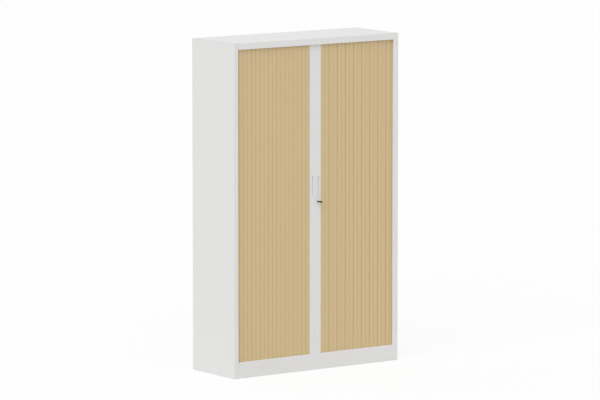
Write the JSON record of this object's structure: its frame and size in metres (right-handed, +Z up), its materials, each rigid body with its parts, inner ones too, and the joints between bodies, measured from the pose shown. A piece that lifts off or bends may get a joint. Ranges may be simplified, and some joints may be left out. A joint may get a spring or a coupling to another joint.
{
  "type": "tambour door cabinet",
  "caption": "Tall steel storage cabinet with two sideways-opening slatted shutters, lead profiles with finger grips, lock, shelves, and levelling feet.",
  "frame": {"origin": "on the floor, under the middle of the steel carcass. The key stands out of the front, so the middle of the whole box lies 10.1 mm further forward", "axes": "+X to the right seen from the front, the front faces -Y, +Z up"},
  "size_m": [1.2, 0.4502, 1.984],
  "materials": {
    "white_paint": "fine-textured white powder coat",
    "white_plastic": "white extruded and moulded plastic",
    "beech_slat": "slats with a pale beech foil",
    "track_plastic": "grey slippery plastic",
    "zinc_steel": "bright zinc plate",
    "nickel": "satin nickel plate",
    "black_plastic": "black moulded plastic",
    "foot_plastic": "pale grey moulded plastic"
  },
  "bodies": {
    "cabinet": {"left_side_panel": "white_paint", "right_side_panel": "white_paint", "top_panel": "white_paint", "plinth_rail": "white_paint", "back_panel": "white_paint", "base_panel": "white_paint", "head_panel": "white_paint", "left_liner": "white_paint", "right_liner": "white_paint", "back_liner": "white_paint", "floor_pan": "white_paint", "left_bottom_track": "track_plastic", "right_bottom_track": "track_plastic", "left_top_track": "track_plastic", "right_top_track": "track_plastic", "shelf_1": "white_paint", "shelf_2": "white_paint", "shelf_3": "white_paint", "shelf_4": "white_paint", "left_bracket_1": "zinc_steel", "right_bracket_1": "zinc_steel", "left_bracket_2": "zinc_steel", "right_bracket_2": "zinc_steel", "left_bracket_3": "zinc_steel", "right_bracket_3": "zinc_steel", "left_bracket_4": "zinc_steel", "right_bracket_4": "zinc_steel"},
    "left_door": {"left_lead_profile": "white_plastic", "left_finger_grip": "white_plastic", "lock_keep": "zinc_steel"},
    "right_door": {"right_lead_profile": "white_plastic", "right_finger_grip": "white_plastic", "lock_housing": "nickel"},
    "left_slat_1": {"left_slat_1": "beech_slat"},
    "left_slat_2": {"left_slat_2": "beech_slat"},
    "left_slat_3": {"left_slat_3": "beech_slat"},
    "left_slat_4": {"left_slat_4": "beech_slat"},
    "left_slat_5": {"left_slat_5": "beech_slat"},
    "left_slat_6": {"left_slat_6": "beech_slat"},
    "left_slat_7": {"left_slat_7": "beech_slat"},
    "left_slat_8": {"left_slat_8": "beech_slat"},
    "left_slat_9": {"left_slat_9": "beech_slat"},
    "right_slat_1": {"right_slat_1": "beech_slat"},
    "right_slat_2": {"right_slat_2": "beech_slat"},
    "right_slat_3": {"right_slat_3": "beech_slat"},
    "right_slat_4": {"right_slat_4": "beech_slat"},
    "right_slat_5": {"right_slat_5": "beech_slat"},
    "right_slat_6": {"right_slat_6": "beech_slat"},
    "right_slat_7": {"right_slat_7": "beech_slat"},
    "right_slat_8": {"right_slat_8": "beech_slat"},
    "right_slat_9": {"right_slat_9": "beech_slat"},
    "lock_barrel": {"lock_barrel": "nickel", "lock_cam": "zinc_steel"},
    "key": {"key_blade": "nickel"},
    "key_bow": {"key_bow": "black_plastic"},
    "foot_front_left": {"foot_front_left": "foot_plastic"},
    "foot_front_right": {"foot_front_right": "foot_plastic"},
    "foot_back_left": {"foot_back_left": "foot_plastic"},
    "foot_back_right": {"foot_back_right": "foot_plastic"}
  },
  "joints": [
    {"name": "left_door_slide", "type": "slide", "parent": "cabinet", "child": "left_door", "axis": [-1, 0, 0], "range_m": [0, 0.52]},
    {"name": "right_door_slide", "type": "slide", "parent": "cabinet", "child": "right_door", "axis": [1, 0, 0], "range_m": [0, 0.52]},
    {"name": "left_slat_1_slide", "type": "slide", "parent": "cabinet", "child": "left_slat_1", "axis": [-1, 0, 0], "range_m": [0, 0.48747], "deforming": ["left_slat_1"]},
    {"name": "left_slat_2_slide", "type": "slide", "parent": "cabinet", "child": "left_slat_2", "axis": [-1, 0, 0], "range_m": [0, 0.4283], "deforming": ["left_slat_2"]},
    {"name": "left_slat_3_slide", "type": "slide", "parent": "cabinet", "child": "left_slat_3", "axis": [-1, 0, 0], "range_m": [0, 0.36914], "deforming": ["left_slat_3"]},
    {"name": "left_slat_4_slide", "type": "slide", "parent": "cabinet", "child": "left_slat_4", "axis": [-1, 0, 0], "range_m": [0, 0.30997], "deforming": ["left_slat_4"]},
    {"name": "left_slat_5_slide", "type": "slide", "parent": "cabinet", "child": "left_slat_5", "axis": [-1, 0, 0], "range_m": [0, 0.2508], "deforming": ["left_slat_5"]},
    {"name": "left_slat_6_slide", "type": "slide", "parent": "cabinet", "child": "left_slat_6", "axis": [-1, 0, 0], "range_m": [0, 0.19164], "deforming": ["left_slat_6"]},
    {"name": "left_slat_7_slide", "type": "slide", "parent": "cabinet", "child": "left_slat_7", "axis": [-1, 0, 0], "range_m": [0, 0.13247], "deforming": ["left_slat_7"]},
    {"name": "left_slat_8_slide", "type": "slide", "parent": "cabinet", "child": "left_slat_8", "axis": [-1, 0, 0], "range_m": [0, 0.0733], "deforming": ["left_slat_8"]},
    {"name": "left_slat_9_slide", "type": "slide", "parent": "cabinet", "child": "left_slat_9", "axis": [-1, 0, 0], "range_m": [0, 0.01414], "deforming": ["left_slat_9"]},
    {"name": "right_slat_1_slide", "type": "slide", "parent": "cabinet", "child": "right_slat_1", "axis": [1, 0, 0], "range_m": [0, 0.48747], "deforming": ["right_slat_1"]},
    {"name": "right_slat_2_slide", "type": "slide", "parent": "cabinet", "child": "right_slat_2", "axis": [1, 0, 0], "range_m": [0, 0.4283], "deforming": ["right_slat_2"]},
    {"name": "right_slat_3_slide", "type": "slide", "parent": "cabinet", "child": "right_slat_3", "axis": [1, 0, 0], "range_m": [0, 0.36914], "deforming": ["right_slat_3"]},
    {"name": "right_slat_4_slide", "type": "slide", "parent": "cabinet", "child": "right_slat_4", "axis": [1, 0, 0], "range_m": [0, 0.30997], "deforming": ["right_slat_4"]},
    {"name": "right_slat_5_slide", "type": "slide", "parent": "cabinet", "child": "right_slat_5", "axis": [1, 0, 0], "range_m": [0, 0.2508], "deforming": ["right_slat_5"]},
    {"name": "right_slat_6_slide", "type": "slide", "parent": "cabinet", "child": "right_slat_6", "axis": [1, 0, 0], "range_m": [0, 0.19164], "deforming": ["right_slat_6"]},
    {"name": "right_slat_7_slide", "type": "slide", "parent": "cabinet", "child": "right_slat_7", "axis": [1, 0, 0], "range_m": [0, 0.13247], "deforming": ["right_slat_7"]},
    {"name": "right_slat_8_slide", "type": "slide", "parent": "cabinet", "child": "right_slat_8", "axis": [1, 0, 0], "range_m": [0, 0.0733], "deforming": ["right_slat_8"]},
    {"name": "right_slat_9_slide", "type": "slide", "parent": "cabinet", "child": "right_slat_9", "axis": [1, 0, 0], "range_m": [0, 0.01414], "deforming": ["right_slat_9"]},
    {"name": "lock_turn", "type": "hinge", "parent": "right_door", "child": "lock_barrel", "pos_m": [0.02053, -0.1992, 1.0095], "axis": [0, 1, 0], "range_deg": [0, 90]},
    {"name": "key_withdraw", "type": "slide", "parent": "lock_barrel", "child": "key", "axis": [0, -1, 0], "range_m": [0, 0.0165]},
    {"name": "key_bow_fold", "type": "hinge", "parent": "key", "child": "key_bow", "pos_m": [0.02053, -0.2082, 1.0095], "axis": [1, 0, 0], "range_deg": [0, 90]},
    {"name": "foot_front_left_screw", "type": "slide", "parent": "cabinet", "child": "foot_front_left", "axis": [0, 0, -1], "range_m": [0, 0.015]},
    {"name": "foot_front_right_screw", "type": "slide", "parent": "cabinet", "child": "foot_front_right", "axis": [0, 0, -1], "range_m": [0, 0.015]},
    {"name": "foot_back_left_screw", "type": "slide", "parent": "cabinet", "child": "foot_back_left", "axis": [0, 0, -1], "range_m": [0, 0.015]},
    {"name": "foot_back_right_screw", "type": "slide", "parent": "cabinet", "child": "foot_back_right", "axis": [0, 0, -1], "range_m": [0, 0.015]}
  ],
  "couplings": [
    {"joint": "left_slat_1_slide", "follows": "left_door_slide", "ratio": 0.93742},
    {"joint": "left_slat_2_slide", "follows": "left_door_slide", "ratio": 0.82364},
    {"joint": "left_slat_3_slide", "follows": "left_door_slide", "ratio": 0.70986},
    {"joint": "left_slat_4_slide", "follows": "left_door_slide", "ratio": 0.59608},
    {"joint": "left_slat_5_slide", "follows": "left_door_slide", "ratio": 0.4823},
    {"joint": "left_slat_6_slide", "follows": "left_door_slide", "ratio": 0.36851},
    {"joint": "left_slat_7_slide", "follows": "left_door_slide", "ratio": 0.25473},
    {"joint": "left_slat_8_slide", "follows": "left_door_slide", "ratio": 0.14095},
    {"joint": "left_slat_9_slide", "follows": "left_door_slide", "ratio": 0.027169},
    {"joint": "right_slat_1_slide", "follows": "right_door_slide", "ratio": 0.93742},
    {"joint": "right_slat_2_slide", "follows": "right_door_slide", "ratio": 0.82364},
    {"joint": "right_slat_3_slide", "follows": "right_door_slide", "ratio": 0.70986},
    {"joint": "right_slat_4_slide", "follows": "right_door_slide", "ratio": 0.59608},
    {"joint": "right_slat_5_slide", "follows": "right_door_slide", "ratio": 0.4823},
    {"joint": "right_slat_6_slide", "follows": "right_door_slide", "ratio": 0.36851},
    {"joint": "right_slat_7_slide", "follows": "right_door_slide", "ratio": 0.25473},
    {"joint": "right_slat_8_slide", "follows": "right_door_slide", "ratio": 0.14095},
    {"joint": "right_slat_9_slide", "follows": "right_door_slide", "ratio": 0.027169}
  ]
}
